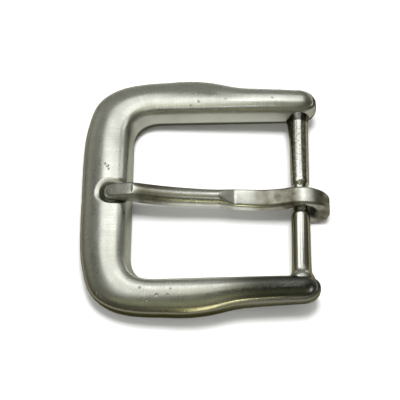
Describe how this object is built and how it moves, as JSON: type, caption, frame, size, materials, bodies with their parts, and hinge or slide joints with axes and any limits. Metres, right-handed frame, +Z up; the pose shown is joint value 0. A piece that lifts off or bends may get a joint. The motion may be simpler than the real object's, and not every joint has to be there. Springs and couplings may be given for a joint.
{
  "type": "belt buckle",
  "caption": "Cast belt buckle in satin nickel finish: a softly waisted open frame with a round heel bar, and a hooked prong that swings on the bar and rests in a notch.",
  "frame": {"origin": "on the supporting surface, under the middle of the buckle's outer box", "axes": "+Z up from the surface the buckle lies on, Y along the heel bar, -X the way the prong points"},
  "size_m": [0.055, 0.0588, 0.0096],
  "materials": {
    "frame_metal": "satin nickel plate on a zinc casting, fine brush lines, small casting pits",
    "prong_metal": "polished nickel plate, softened by wear"
  },
  "bodies": {
    "frame": {"frame": "frame_metal"},
    "prong": {"prong": "prong_metal"}
  },
  "joints": [
    {"name": "prong_hinge", "type": "hinge", "parent": "frame", "child": "prong", "pos_m": [0.02073, 0, 0.00543], "axis": [0, 1, 0], "range_deg": [0, 180]}
  ]
}
